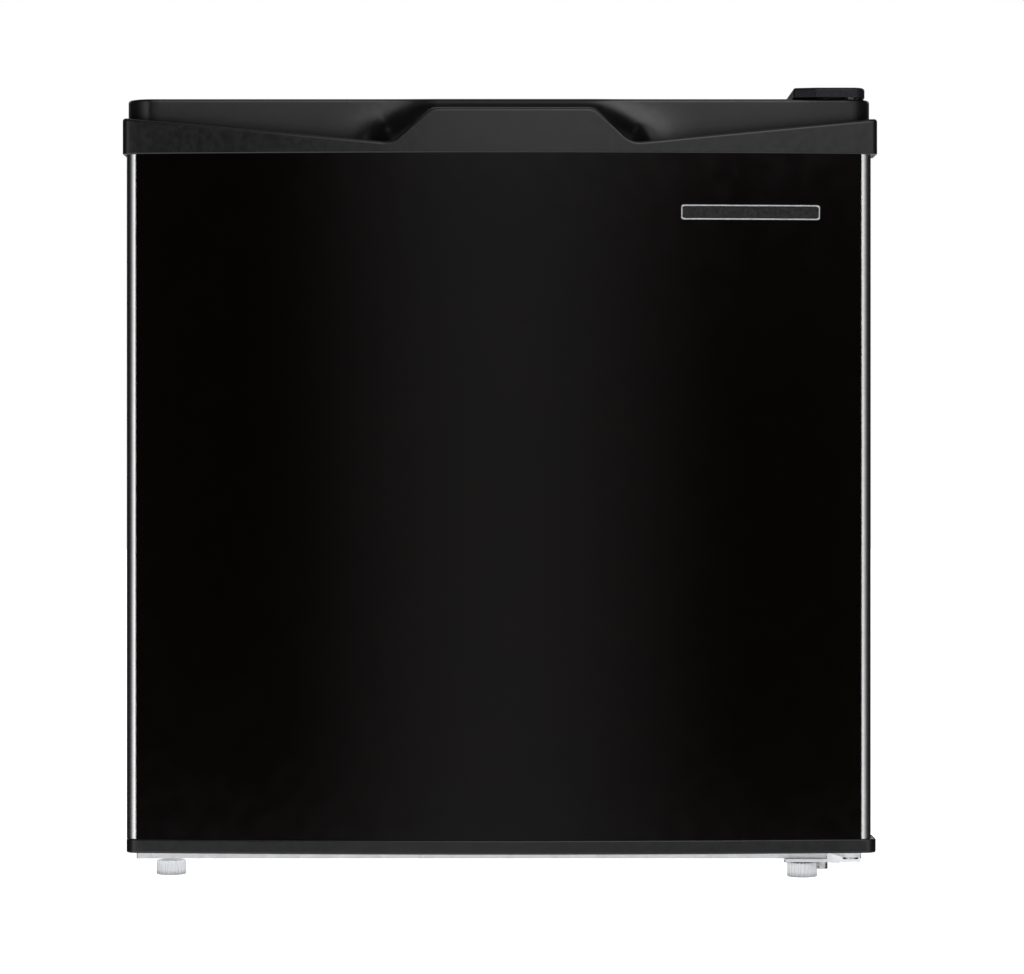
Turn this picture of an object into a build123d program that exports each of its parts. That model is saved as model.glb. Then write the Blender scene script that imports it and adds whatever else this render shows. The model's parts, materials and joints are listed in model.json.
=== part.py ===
"""Compact free-standing refrigerator with one full-height door, as an assembly.

Millimetres, +Z up. The origin is on the floor under the middle of the footprint.
-Y is the front: the door closes the cabinet's -Y side and turns on pins at its +X edge.
"""

import math
import os

from build123d import *

# ---------------------------------------------------------------- driving dimensions

# door, seen in plan: a shallow bow in front, square behind
door_half = 230.4  # half the width of the door panel
bow = 12.0  # how far the panel's middle stands in front of its edges
panel_front = -223.8  # y of the panel at its middle
casing_back = -182.2  # y where the door casing ends
casing_open_half = 216.0  # half width of the opening in the casing's back
bead_back = -204.9  # y where the corner beads end
inner_plate = (226.5, 33.0, 464.0)  # half width, low z and high z of the door's inner plate
flange_back = -181.0  # y of the door liner's flange, which carries the seal
skin_low, skin_high = 29.4, 452.2
cap_high = 487.3  # top of the door's upper cap
trim_low = 20.6  # underside of the door's lower cap
cap_proud = 1.2  # both caps stand this far in front of the panel
cap_left, cap_right = -232.6, 234.1
cap_block_half = door_half + 0.6  # the cap's block behind the finger scoops
trim_right = 233.4
skin_sheet = 0.8
corner_radius = 6.8
bead_start = 224.0  # x where the bright corner bead meets the panel
bow_radius = (door_half**2 + bow**2) / (2 * bow)

# upper cap: the lip that the fingers go behind, left to right
scoop_back = -204.0  # y of the wall behind the lip
lip_valley_left, lip_valley_right = -65.5, 81.9
lip_crown_left, lip_crown_right = -41.2, 58.7
lip_valley_z, lip_crown_z = 458.85, 480.2
lip_end_x = 240.0
lip_left_z, lip_right_z = 475.4, 474.9  # height of the lip line at its two ends
lip_wall = 4.5
pocket_floor = 440.0
pocket_left = (-196.0, -62.0)
pocket_right = (78.0, 196.0)
pocket_wall = 2.0
cap_shell = 2.5

# hinge line of the door
hinge_x, hinge_y = 218.5, -197.0
hinge_pin_radius = 3.0
running_gap = 0.05

# cabinet
cab_half = 228.0
cab_front, cab_back = -169.0, 195.0
cab_low, cab_high = 13.0, 489.0
steel = 0.6
inside_half, inside_back = cab_half - steel, cab_back - steel
floor_sheet = 0.8
mouth_half, mouth_high = 197.0, 449.0  # opening in the steel front flange
rail_high = 45.7  # top of the rail under the door opening

# space inside the cabinet
room_half = 192.0
room_low, room_high = 47.0, 447.0
room_back = 153.0
step_y, step_z = 32.0, 200.0  # the step over the compressor bay
liner_sheet = 1.2
liner_lip = 0.8  # how far behind the cabinet's front the liner's flange starts
room_radius = 8.0
ledge_z = 205.0

# compressor bay
bay_front, bay_high = 62.0, 170.0
base_sheet = 1.5
base_back = 200.0

# condenser on the back
coil_y = 213.0
coil_radius = 2.4
coil_pitch = 26.0
coil_runs = 11
coil_low = 200.0
coil_half = 185.0
riser_x = 200.0
spacer_x = 102.0
back_reach = 225.0

# feet
foot_radius = 9.5
foot_disc_high = 9.0
foot_hub_high = 10.4
foot_stud_radius = 3.0
foot_stud_low, foot_stud_top = 3.0, 26.0
stud_clearance = 0.4
left_foot = (-209.0, -134.0)
right_foot = (192.0, -150.0)
rear_foot_x, rear_foot_y = 205.0, 184.0

# freezer compartment
ice_x = (-186.0, 22.0)
ice_y = (-36.0, 140.0)
ice_z = (342.0, 441.0)
ice_sheet = 1.5
flap_axis_y, flap_axis_z = -40.0, 430.0

os.makedirs("parts", exist_ok=True)


# ---------------------------------------------------------------- helpers


def block(x, y, z, mode=Mode.ADD):
    """A box that spans x, y and z, each given as (low, high)."""
    with Locations(((x[0] + x[1]) / 2, (y[0] + y[1]) / 2, (z[0] + z[1]) / 2)):
        Box(x[1] - x[0], y[1] - y[0], z[1] - z[0], mode=mode)


def peg(base, direction, radius, length, mode=Mode.ADD):
    """A cylinder that starts at base and runs along direction."""
    with BuildSketch(Plane(origin=base, z_dir=direction)) as section:
        Circle(radius)
    extrude(section.sketch, amount=length, mode=mode)


def tube(points, radius, bend):
    """A round tube along straight runs with bent corners."""
    with BuildLine() as route:
        FilletPolyline(*points, radius=bend)
    with BuildSketch(Plane(origin=route.line @ 0, z_dir=route.line % 0)) as section:
        Circle(radius)
    sweep(section.sketch, path=route.line)


def ring(y, outer, inner, mode=Mode.ADD):
    """A frame that spans y; outer and inner are each (half width, low z, high z)."""
    with BuildSketch(Plane.XZ.offset(-y[0])) as frame:
        with Locations((0, (outer[1] + outer[2]) / 2)):
            Rectangle(2 * outer[0], outer[2] - outer[1])
        with Locations((0, (inner[1] + inner[2]) / 2)):
            Rectangle(2 * inner[0], inner[2] - inner[1], mode=Mode.SUBTRACT)
    extrude(frame.sketch, amount=y[0] - y[1], mode=mode)


def bowed_y(x, proud):
    """y of the bowed front at x, standing proud of the panel."""
    return panel_front - proud + bow_radius - math.sqrt(bow_radius**2 - x**2)


def door_plan(proud, left, right, corner, inset=0.0):
    """Plan outline of the door, bowed in front, with rounded front corners."""
    with BuildSketch() as plan:
        with BuildLine():
            ThreePointArc(
                (left, bowed_y(left, proud)),
                (0, panel_front - proud),
                (right, bowed_y(right, proud)),
            )
            Polyline(
                (right, bowed_y(right, proud)),
                (right, casing_back),
                (left, casing_back),
                (left, bowed_y(left, proud)),
            )
        make_face()
        fillet(plan.vertices().group_by(Axis.Y)[:-1], corner)
        if inset:
            offset(amount=-inset, mode=Mode.REPLACE)
    return plan.sketch


def corner_zone(side, grow=0.0):
    """The upright zone at a front corner of the door that the bead covers."""
    with BuildPart() as zone:
        inner = bead_start - grow
        outer = door_half + 2
        x = (inner, outer) if side > 0 else (-outer, -inner)
        block(x, (panel_front, bead_back + grow), (skin_low, skin_high))
    return zone.part


def room(grow):
    """The stepped space inside the cabinet liner, grown outwards by grow."""
    with BuildPart() as space:
        with BuildSketch(Plane.YZ.offset(-room_half - grow)):
            with BuildLine():
                FilletPolyline(
                    (cab_front + steel, room_low - grow),
                    (step_y + grow, room_low - grow),
                    (step_y + grow, step_z - grow),
                    (room_back + grow, step_z - grow),
                    (room_back + grow, room_high + grow),
                    (cab_front + steel, room_high + grow),
                    radius=(room_radius + grow, room_radius, room_radius + grow, room_radius + grow),
                )
                Line(
                    (cab_front + steel, room_high + grow),
                    (cab_front + steel, room_low - grow),
                )
            make_face()
        extrude(amount=2 * (room_half + grow))
        ends = space.faces().group_by(Axis.X)
        rim = [e for face in (*ends[0], *ends[-1]) for e in face.edges()]
        rim = [e for e in rim if e.center().Y > cab_front + 1]
        fillet(rim, room_radius + grow - 1)
    return space.part


# ---------------------------------------------------------------- hinges of the door

top_screws_at = [(199.0, -150.0), (217.0, -150.0), (208.0, -128.0)]
bottom_screws_at = [(203.6, -163.0), (215.0, -122.0), (186.0, -122.0)]
plate_high = cab_high + 2.0
plate_left, plate_rear = 190.0, -118.0
nose_radius = 6.5
top_pin_low = 468.0
top_head, bottom_head = 1.0, 1.4  # thickness of the two pins' heads
top_screw_head, bottom_screw_head = 1.2, 4.8
tongue_low, tongue_high = 17.0, 19.0
bottom_pin_high = 34.0
bracket_low = 11.0
bracket_x = (180.0, 227.0)
bracket_y = (cab_front - 2, -108.0)
tongue_left = 206.0
cover_low, cover_high = cab_high - 0.9, 494.1
cover_left, cover_right = 182.5, 227.9
cover_front, cover_rear = -207.5, -110.0
cover_cheek = (196.4, 3.2)  # x where the front face turns, and how far back the cheek goes
cover_wall = 1.4
cover_round = 1.6

with BuildPart() as hinge_pins:
    peg((hinge_x, hinge_y, top_pin_low), (0, 0, 1), hinge_pin_radius, plate_high - top_pin_low)
    peg((hinge_x, hinge_y, plate_high), (0, 0, 1), 4.5, top_head)
    peg((hinge_x, hinge_y, tongue_low), (0, 0, 1), hinge_pin_radius, bottom_pin_high - tongue_low)
    peg((hinge_x, hinge_y, tongue_low), (0, 0, -1), 5.0, bottom_head)

with BuildPart() as hinge_screws:
    for x, y in top_screws_at:
        peg((x, y, plate_high), (0, 0, -1), 2.0, 18)
        peg((x, y, plate_high), (0, 0, 1), 4.0, top_screw_head)
    for x, y in bottom_screws_at:
        peg((x, y, bracket_low), (0, 0, 1), 2.5, 15)
        with BuildSketch(Plane.XY.offset(bracket_low - bottom_screw_head)) as hexagon:
            with Locations((x, y)):
                RegularPolygon(3.6, 6)
        extrude(hexagon.sketch, amount=bottom_screw_head)


def hinge_nose(rear):
    """Plan of a hinge leaf: round at the pin, widening to the edge given by rear."""
    with BuildSketch() as nose:
        with BuildLine():
            left, right = (hinge_x - nose_radius, hinge_y), (hinge_x + nose_radius, hinge_y)
            Polyline(left, *rear, right)
            ThreePointArc(right, (hinge_x, hinge_y - nose_radius), left)
        make_face()
    return nose.sketch


with BuildPart() as top_hinge_plate:
    with BuildSketch(Plane.XY.offset(cab_high)):
        add(hinge_nose([
            (211, -178), (plate_left, -166), (plate_left, plate_rear), (hinge_x + nose_radius, plate_rear),
        ]))
    extrude(amount=plate_high - cab_high)
    add(hinge_pins.part, mode=Mode.SUBTRACT)
    add(hinge_screws.part, mode=Mode.SUBTRACT)


def cover_outline(inset):
    """Plan of the hinge cover: a rounded nose over the pin and a slightly slanted left cheek."""
    with BuildSketch() as outline:
        with BuildLine():
            FilletPolyline(
                (cover_left, cover_rear), (cover_left, cover_front + cover_cheek[1]),
                (cover_cheek[0], cover_front), (cover_right - 0.9, cover_front),
                (cover_right, cover_rear), radius=(2, 3, 8),
            )
            Line((cover_right, cover_rear), (cover_left, cover_rear))
        make_face()
        if inset:
            offset(amount=-inset, mode=Mode.REPLACE)
    return outline.sketch


with BuildPart() as top_hinge_cover:
    with BuildSketch(Plane.XY.offset(cover_low)):
        add(cover_outline(0))
    extrude(amount=cover_high - cover_low)
    fillet(top_hinge_cover.faces().sort_by(Axis.Z)[-1].edges(), cover_round)
    with BuildSketch(Plane.XY.offset(cover_low)):
        add(cover_outline(cover_wall))
    extrude(amount=cover_high - cover_low - cover_round, mode=Mode.SUBTRACT)
    block((cover_left, cover_right), (cab_front - 1, cover_rear), (cover_low, cab_high), Mode.SUBTRACT)

with BuildPart() as hinge_hole_plugs:
    for x, y in top_screws_at:
        peg((-x, y, cab_high - 6), (0, 0, 1), 2.0, 6)
        peg((-x, y, cab_high), (0, 0, 1), 4.2, 1.2)

with BuildPart() as bottom_hinge_bracket:
    block(bracket_x, bracket_y, (bracket_low, cab_low))
    block((tongue_left, bracket_x[1]), (bracket_y[0], cab_front), (bracket_low, tongue_high))
    with BuildSketch(Plane.XY.offset(tongue_low)):
        add(hinge_nose([(tongue_left, cab_front), (bracket_x[1], cab_front)]))
    extrude(amount=tongue_high - tongue_low)
    add(hinge_pins.part, mode=Mode.SUBTRACT)
    add(hinge_screws.part, mode=Mode.SUBTRACT)
    peg((*right_foot, bracket_low), (0, 0, 1), foot_stud_radius + stud_clearance, 2, Mode.SUBTRACT)

# ---------------------------------------------------------------- feet


def foot_disc(x, y):
    """A turning foot: a fluted disc with a cone above it and a bore for the stud."""
    with BuildPart() as disc:
        peg((x, y, 0), (0, 0, 1), foot_radius, foot_disc_high)
        fillet(disc.edges().filter_by(GeomType.CIRCLE), 0.8)
        with BuildSketch(Plane.XY) as flutes:
            with Locations((x, y)):
                with PolarLocations(foot_radius + 0.2, 24):
                    Circle(1.1)
        extrude(flutes.sketch, amount=foot_disc_high, mode=Mode.SUBTRACT)
        with Locations((x, y, (foot_disc_high + foot_hub_high) / 2)):
            Cone(6.5, 4.2, foot_hub_high - foot_disc_high)
        peg((x, y, foot_stud_low), (0, 0, 1), foot_stud_radius + running_gap, 10, Mode.SUBTRACT)
    return disc


def foot_stud(x, y):
    """The threaded stud that carries a turning foot."""
    with BuildPart() as stud:
        peg((x, y, foot_stud_low), (0, 0, 1), foot_stud_radius, foot_stud_top - foot_stud_low)
        chamfer(stud.edges().filter_by(GeomType.CIRCLE).sort_by(Axis.Z)[-1], 0.6)
    return stud


left_foot_disc = foot_disc(*left_foot)
right_foot_disc = foot_disc(*right_foot)
left_foot_stud = foot_stud(*left_foot)
right_foot_stud = foot_stud(*right_foot)

with BuildPart() as foot_inserts:
    for x, y in (left_foot, right_foot):
        peg((x, y, cab_low + floor_sheet), (0, 0, 1), 6.5, 1.2)
        peg((x, y, cab_low + floor_sheet + 1.2), (0, 0, 1), 5.0, 9.0)
        peg((x, y, cab_low), (0, 0, 1), foot_stud_radius + running_gap, 12, Mode.SUBTRACT)

with BuildPart() as rear_feet:
    for x in (-rear_foot_x, rear_foot_x):
        peg((x, rear_foot_y, 0), (0, 0, 1), foot_radius, cab_low)
        peg((x, rear_foot_y, cab_low), (0, 0, 1), 4.0, base_sheet)
        peg((x, rear_foot_y, cab_low + base_sheet), (0, 0, 1), 6.0, 2.0)

# ---------------------------------------------------------------- screws of the panels

clip_runs = [coil_low + coil_pitch, coil_low + 9 * coil_pitch]
clip_x = 150.0
stat_screws_at = [(65.0, 40.0), (155.0, 40.0)]

with BuildPart() as panel_screws:
    for x in (-215, -72, 72, 215):
        for z in (182, 480):
            peg((x, cab_back, z), (0, -1, 0), 1.6, 10)
            peg((x, cab_back, z), (0, 1, 0), 3.4, 1.8)
    for x in (-clip_x, clip_x):
        for z in clip_runs:
            peg((x, cab_back + 2, z - 12), (0, -1, 0), 1.6, 12)
            peg((x, cab_back + 2, z - 12), (0, 1, 0), 3.4, 1.8)
    for x, y in stat_screws_at:
        peg((x, y, room_high - 2), (0, 0, 1), 1.6, 14)
        peg((x, y, room_high - 2), (0, 0, -1), 3.4, 1.8)

# ---------------------------------------------------------------- thermostat

stat_x, stat_z = 110.0, 427.0
stat_front = -10.0

with BuildPart() as thermostat_shaft:
    peg((stat_x, 20, stat_z), (0, -1, 0), 3.0, 44)

with BuildPart() as thermostat_knob:
    peg((stat_x, stat_front - 0.6, stat_z), (0, -1, 0), 14.0, 4.0)
    peg((stat_x, stat_front - 4.6, stat_z), (0, -1, 0), 12.0, 12.0)
    fillet(thermostat_knob.faces().sort_by(Axis.Y)[0].edges(), 1.2)
    block((stat_x - 1, stat_x + 1), (-27.6, -24.0), (stat_z, stat_z + 11))
    with BuildSketch(Plane.XZ.offset(14.6)) as grips:
        with Locations((stat_x, stat_z)):
            with PolarLocations(12.4, 20):
                Circle(0.8)
    extrude(grips.sketch, amount=8, mode=Mode.SUBTRACT)
    add(thermostat_shaft.part, mode=Mode.SUBTRACT)

with BuildPart() as thermostat_housing:
    block((70, 150), (stat_front, 90), (407, room_high))
    fillet(thermostat_housing.edges().filter_by(Axis.Z), 6)
    fillet(thermostat_housing.faces().sort_by(Axis.Z)[0].edges(), 3)
    block((72, 148), (stat_front + 2, 88), (409, room_high), Mode.SUBTRACT)
    block((58, 71.9), (33, 47), (room_high - 2, room_high))
    block((148.1, 162), (33, 47), (room_high - 2, room_high))
    peg((stat_x, 0, stat_z), (0, -1, 0), 3.0 + running_gap, 20, Mode.SUBTRACT)
    add(panel_screws.part, mode=Mode.SUBTRACT)

with BuildPart() as thermostat_body:
    block((92, 128), (stat_front + 2, 44), (413, 441))
    block((88, 92), (20, 30), (424, 430))
    peg((stat_x, 20, stat_z), (0, -1, 0), 3.0 + running_gap, 40, Mode.SUBTRACT)

with BuildPart() as thermostat_capillary:
    tube([(88, 25, 427), (80, 25, 427), (80, 60, 427), (80, 60, 432)], 1.0, 2.0)

# ---------------------------------------------------------------- freezer compartment

frame_x = (-188.0, 24.0)
frame_z = (338.0, 443.0)
window_x = (-180.0, 16.0)
window_z = (346.0, 437.0)
frame_y = (-44.0, ice_y[0])

with BuildPart() as evaporator_box:
    block(ice_x, ice_y, ice_z)
    fillet(evaporator_box.edges().filter_by(Axis.Y), 5)
    block(
        (ice_x[0] + ice_sheet, ice_x[1] - ice_sheet),
        (ice_y[0], ice_y[1] - ice_sheet),
        (ice_z[0] + ice_sheet, ice_z[1] - ice_sheet),
        Mode.SUBTRACT,
    )

with BuildPart() as evaporator_clips:
    for x in (-165, 0):
        for y in (0, 110):
            block((x - 6, x + 6), (y - 5, y + 5), (ice_z[1], room_high))

with BuildPart() as evaporator_pipes:
    tube([(-20, ice_y[1], 420), (-20, 146.5, 420), (-20, 146.5, 400), (-20, room_back, 400)], 2.5, 3)
    tube([(-40, ice_y[1], 420), (-40, 146.5, 420), (-40, 146.5, 400), (-40, room_back, 400)], 1.2, 3)

with BuildPart() as freezer_frame:
    block(frame_x, frame_y, frame_z)
    fillet(freezer_frame.edges().filter_by(Axis.Y), 5)
    block(window_x, frame_y, window_z, Mode.SUBTRACT)
    for x, direction in ((window_x[0] - 4.6, 1), (window_x[1] + 4.6, -1)):
        peg(
            (x, flap_axis_y, flap_axis_z), (direction, 0, 0), 2.0 + running_gap, 6, Mode.SUBTRACT
        )

with BuildPart() as freezer_flap:
    block(
        (window_x[0] + 1.5, window_x[1] - 1.5),
        (flap_axis_y - 2.5, flap_axis_y + 2.5),
        (window_z[0] + 2, flap_axis_z + 3),
    )
    block(
        (window_x[0] + 7, window_x[1] - 7),
        (flap_axis_y - 0.5, flap_axis_y + 2.5),
        (window_z[0] + 8, flap_axis_z - 8),
        Mode.SUBTRACT,
    )
    block((-112, -52), (flap_axis_y - 12, flap_axis_y - 2.5), (window_z[0] + 4, window_z[0] + 7))
    peg((window_x[0] - 4, flap_axis_y, flap_axis_z), (1, 0, 0), 2.0, 6)
    peg((window_x[1] + 4, flap_axis_y, flap_axis_z), (-1, 0, 0), 2.0, 6)

tray_x = (-183.0, 19.0)
tray_y = (-36.0, 126.0)
tray_z = (316.0, 332.0)

with BuildPart() as drip_tray:
    block(tray_x, tray_y, tray_z)
    block(
        (tray_x[0] + 2, tray_x[1] - 2), (tray_y[0] + 2, tray_y[1] - 2), (tray_z[0] + 2, tray_z[1]),
        Mode.SUBTRACT,
    )
    block((tray_x[0] - 4, tray_x[0]), tray_y, (tray_z[1] - 2, tray_z[1]))
    block((tray_x[1], tray_x[1] + 4), tray_y, (tray_z[1] - 2, tray_z[1]))
    block((-117, -47), (tray_y[0] - 8, tray_y[0]), (tray_z[1] - 3, tray_z[1]))

with BuildPart() as tray_rails:
    rail_y = (-30.0, 130.0)
    block((-room_half, -184), rail_y, (tray_z[1] - 5, tray_z[1] - 2.3))
    block((20, 27), rail_y, (tray_z[1] - 5, tray_z[1] - 2.3))
    block((25, 27), rail_y, (tray_z[1] - 5, ice_z[0]))
    block((12, 27), rail_y, (ice_z[0] - 2, ice_z[0]))

# ---------------------------------------------------------------- wire shelf

shelf_half = 187.0
shelf_y = (-80.0, 146.0)
rail_radius = 2.25
shelf_z = ledge_z + rail_radius + 0.3

with BuildPart() as wire_shelf:
    corners = [
        (0, shelf_y[0]), (shelf_half, shelf_y[0]), (shelf_half, shelf_y[1]),
        (-shelf_half, shelf_y[1]), (-shelf_half, shelf_y[0]), (-1, shelf_y[0]),
    ]
    tube([(x, y, shelf_z) for x, y in corners], rail_radius, 10)
    peg((-1.5, shelf_y[0], shelf_z), (1, 0, 0), rail_radius, 2)
    for y in (0.0, 75.0):
        peg((-shelf_half, y, shelf_z), (1, 0, 0), rail_radius - 0.25, 2 * shelf_half)
    for i in range(-12, 13):
        peg((14.5 * i, shelf_y[0], shelf_z + 1.6), (0, 1, 0), 1.2, shelf_y[1] - shelf_y[0])

# ---------------------------------------------------------------- cabinet

flange_y = (cab_front, cab_front + steel)
floor_z = (cab_low, cab_low + floor_sheet)

with BuildPart() as cabinet_shell:
    block((-cab_half, cab_half), (cab_front, cab_back), (cab_low, cab_high))
    fillet(cabinet_shell.edges().filter_by(Axis.Y).sort_by(Axis.Z)[-2:], 3)
    block(
        (-inside_half, inside_half), (flange_y[1], cab_back), (cab_low, cab_high - steel),
        Mode.SUBTRACT,
    )
    block((-mouth_half, mouth_half), flange_y, (cab_low, mouth_high), Mode.SUBTRACT)
    block((-inside_half, inside_half), flange_y, (cab_low, rail_high + 0.3), Mode.SUBTRACT)
    add(hinge_screws.part, mode=Mode.SUBTRACT)
    add(hinge_hole_plugs.part, mode=Mode.SUBTRACT)

with BuildPart() as back_panel:
    block((-inside_half, inside_half), (inside_back, cab_back), (bay_high, cab_high - steel))
    add(panel_screws.part, mode=Mode.SUBTRACT)

with BuildPart() as front_bottom_rail:
    rail_back = -140.0
    block((-inside_half, inside_half), (cab_front, cab_front + floor_sheet), (cab_low, rail_high))
    block((-inside_half, inside_half), (cab_front, rail_back), floor_z)
    peg((*right_foot, cab_low), (0, 0, 1), foot_stud_radius + stud_clearance, 2, Mode.SUBTRACT)
    add(hinge_screws.part, mode=Mode.SUBTRACT)

with BuildPart() as bottom_panel:
    block((-inside_half, inside_half), (rail_back, bay_front), floor_z)
    block((-inside_half, inside_half), (bay_front - steel, bay_front), (cab_low, bay_high + steel))
    block((-inside_half, inside_half), (bay_front, inside_back), (bay_high, bay_high + steel))
    peg((*left_foot, cab_low), (0, 0, 1), foot_stud_radius + stud_clearance, 2, Mode.SUBTRACT)
    add(hinge_screws.part, mode=Mode.SUBTRACT)

with BuildPart() as inner_liner:
    add(room(liner_sheet))
    ring(
        (cab_front + liner_lip, cab_front + liner_lip + liner_sheet), (211, 32, 463),
        (room_half + 0.1, room_low - 0.1, room_high + 0.1),
    )
    add(room(0), mode=Mode.SUBTRACT)
    for side in (-1, 1):
        inner, outer = sorted((side * 186, side * (room_half + 0.5)))
        block((inner, outer), (-112, room_back), (ledge_z - 4, ledge_z))
    add(panel_screws.part, mode=Mode.SUBTRACT)

with BuildPart() as cabinet_foam:
    block((-inside_half, inside_half), (flange_y[1], inside_back), (floor_z[1], cab_high - steel))
    for cutter in (
        room(liner_sheet), inner_liner.part, cabinet_shell.part, back_panel.part,
        front_bottom_rail.part, bottom_panel.part, foot_inserts.part,
        panel_screws.part, hinge_screws.part, hinge_hole_plugs.part,
    ):
        add(cutter, mode=Mode.SUBTRACT)
    block(
        (-cab_half, cab_half), (bay_front - steel, cab_back), (cab_low, bay_high + steel),
        Mode.SUBTRACT,
    )
    for x, y in (left_foot, right_foot):
        peg((x, y, cab_low), (0, 0, 1), foot_stud_radius + stud_clearance, 20, Mode.SUBTRACT)

# ---------------------------------------------------------------- compressor bay

comp_x, comp_y = 40.0, 128.0
comp_low, comp_high = 30.0, 148.0
mount_dx, mount_dy = 78.0, 38.0
mounts_at = [
    (comp_x + i * mount_dx, comp_y + j * mount_dy) for i in (-1, 1) for j in (-1, 1)
]
process_route = [(0, comp_y, 120), (-45, comp_y, 120), (-45, comp_y, 150)]

pot_wall = 3.0

with BuildPart() as compressor_shell:
    with BuildSketch(Plane.XY.offset(comp_low)):
        with Locations((comp_x, comp_y)):
            Ellipse(70, 50)
    extrude(amount=comp_high - comp_low)
    fillet(compressor_shell.faces().sort_by(Axis.Z)[-1].edges(), 26)
    fillet(compressor_shell.faces().sort_by(Axis.Z)[0].edges(), 14)
    with BuildSketch(Plane.XY.offset(88)):
        with Locations((comp_x, comp_y)):
            Ellipse(73, 53)
    extrude(amount=4)
    tube(process_route, 3.0, 8)
    with BuildSketch(Plane.XY.offset(comp_low + pot_wall)) as hollow:
        with Locations((comp_x, comp_y)):
            Ellipse(54, 34)
    extrude(hollow.sketch, amount=comp_high - comp_low - 2 * pot_wall, mode=Mode.SUBTRACT)
    peg((comp_x - 20, comp_y, 120), (-1, 0, 0), 1.5, 60, Mode.SUBTRACT)

with BuildPart() as compressor_pump:
    peg((comp_x, comp_y, comp_low + pot_wall), (0, 0, 1), 32.0, 62)
    peg((comp_x, comp_y, comp_low + pot_wall + 62), (0, 0, 1), 24.0, 30)

with BuildPart() as compressor_bolts:
    for x, y in mounts_at:
        peg((x, y, cab_low), (0, 0, 1), 3.0, 26)
        peg((x, y, cab_low - 3), (0, 0, 1), 5.0, 3)
        peg((x, y, 33), (0, 0, 1), 5.0, 4)

with BuildPart() as compressor_grommets:
    for x, y in mounts_at:
        peg((x, y, cab_low + base_sheet), (0, 0, 1), 10.0, comp_low - 2 - cab_low - base_sheet)
        peg((x, y, comp_low - 2), (0, 0, 1), 7.0, 2)
        peg((x, y, comp_low), (0, 0, 1), 9.0, 3)
    add(compressor_bolts.part, mode=Mode.SUBTRACT)

with BuildPart() as compressor_cradle:
    with BuildSketch(Plane.XY.offset(comp_low - 2)):
        with Locations((comp_x, comp_y)):
            RectangleRounded(2 * mount_dx + 26, 2 * mount_dy + 26, 12)
    extrude(amount=2)
    add(compressor_grommets.part, mode=Mode.SUBTRACT)
    add(compressor_bolts.part, mode=Mode.SUBTRACT)

with BuildPart() as starter_cover:
    block((-60, -20), (comp_y - 22, comp_y + 22), (54, 104))
    fillet(starter_cover.edges().filter_by(Axis.X), 4)
    add(compressor_shell.part, mode=Mode.SUBTRACT)

with BuildPart() as discharge_tube:
    tube(
        [(85, comp_y, 130), (85, comp_y, 160), (riser_x, comp_y, 160), (riser_x, coil_y, 160),
         (riser_x, coil_y, coil_low)],
        coil_radius, 10,
    )
    add(compressor_shell.part, mode=Mode.SUBTRACT)

with BuildPart() as suction_tube:
    tube([(10, comp_y, 130), (10, comp_y, 158), (-100, comp_y, 158), (-100, comp_y, bay_high)], 3.2, 6)
    add(compressor_shell.part, mode=Mode.SUBTRACT)

drier_high, drier_low = 182.0, 100.0

with BuildPart() as filter_drier:
    peg((-riser_x, coil_y, drier_low + 10), (0, 0, 1), 8.0, drier_high - drier_low - 20)
    with Locations((-riser_x, coil_y, drier_high - 5)):
        Cone(8.0, coil_radius, 10)
    with Locations((-riser_x, coil_y, drier_low + 5)):
        Cone(2.0, 8.0, 10)

with BuildPart() as capillary_tube:
    tube(
        [(-riser_x, coil_y, drier_low), (-riser_x, coil_y, 70), (-160, 150, 70),
         (-140, comp_y, 120), (-140, comp_y, bay_high)],
        1.2, 12,
    )

with BuildPart() as cord_gland:
    peg((-150, base_back - 3, 24), (0, 1, 0), 8.0, 1.5)
    peg((-150, base_back - 1.5, 24), (0, 1, 0), 6.0, base_sheet)
    peg((-150, base_back, 24), (0, 1, 0), 8.0, 4)
    peg((-150, base_back - 4, 24), (0, 1, 0), 3.6, 10, Mode.SUBTRACT)

with BuildPart() as compressor_base:
    block((-inside_half, inside_half), (bay_front, base_back), (cab_low, cab_low + base_sheet))
    block((-inside_half, inside_half), (base_back - base_sheet, base_back), (cab_low, 34))
    add(compressor_bolts.part, mode=Mode.SUBTRACT)
    add(rear_feet.part, mode=Mode.SUBTRACT)
    peg((-150, base_back - 2, 24), (0, 1, 0), 6.0, 4, Mode.SUBTRACT)

# ---------------------------------------------------------------- condenser

with BuildPart() as condenser_coil:
    route = [(riser_x, coil_y, coil_low), (riser_x, coil_y, coil_low + 10 * coil_pitch)]
    for i in range(coil_runs):
        z = coil_low + (coil_runs - 1 - i) * coil_pitch
        ends = (coil_half, -coil_half) if i % 2 == 0 else (-coil_half, coil_half)
        if i > 0:
            route.append((ends[0], coil_y, z))
        if i < coil_runs - 1:
            route.append((ends[1], coil_y, z))
    route += [(-riser_x, coil_y, coil_low), (-riser_x, coil_y, drier_high)]
    tube(route, coil_radius, coil_pitch / 2 - 0.5)

with BuildPart() as condenser_wires:
    for i in range(-14, 15):
        for side in (-1, 1):
            y = coil_y + side * (coil_radius + 0.85)
            peg((12 * i, y, coil_low - 8), (0, 0, 1), 0.8, 10 * coil_pitch + 16)

with BuildPart() as condenser_clips:
    for z in clip_runs:
        for x in (-clip_x, clip_x):
            block((x - 4, x + 4), (cab_back, cab_back + 2), (z - 18, z + 6))
            block((x - 4, x + 4), (cab_back, coil_y + 1), (z - 6, z + 6))
            peg((x - 4, coil_y, z), (1, 0, 0), coil_radius + 0.02, 8, Mode.SUBTRACT)
        for x in (-spacer_x, spacer_x):
            block((x - 4, x + 4), (coil_y - 1, back_reach), (z - 7, z + 7))
            peg((x - 4, coil_y, z), (1, 0, 0), coil_radius + 0.02, 8, Mode.SUBTRACT)
    add(panel_screws.part, mode=Mode.SUBTRACT)

# ---------------------------------------------------------------- door

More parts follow.
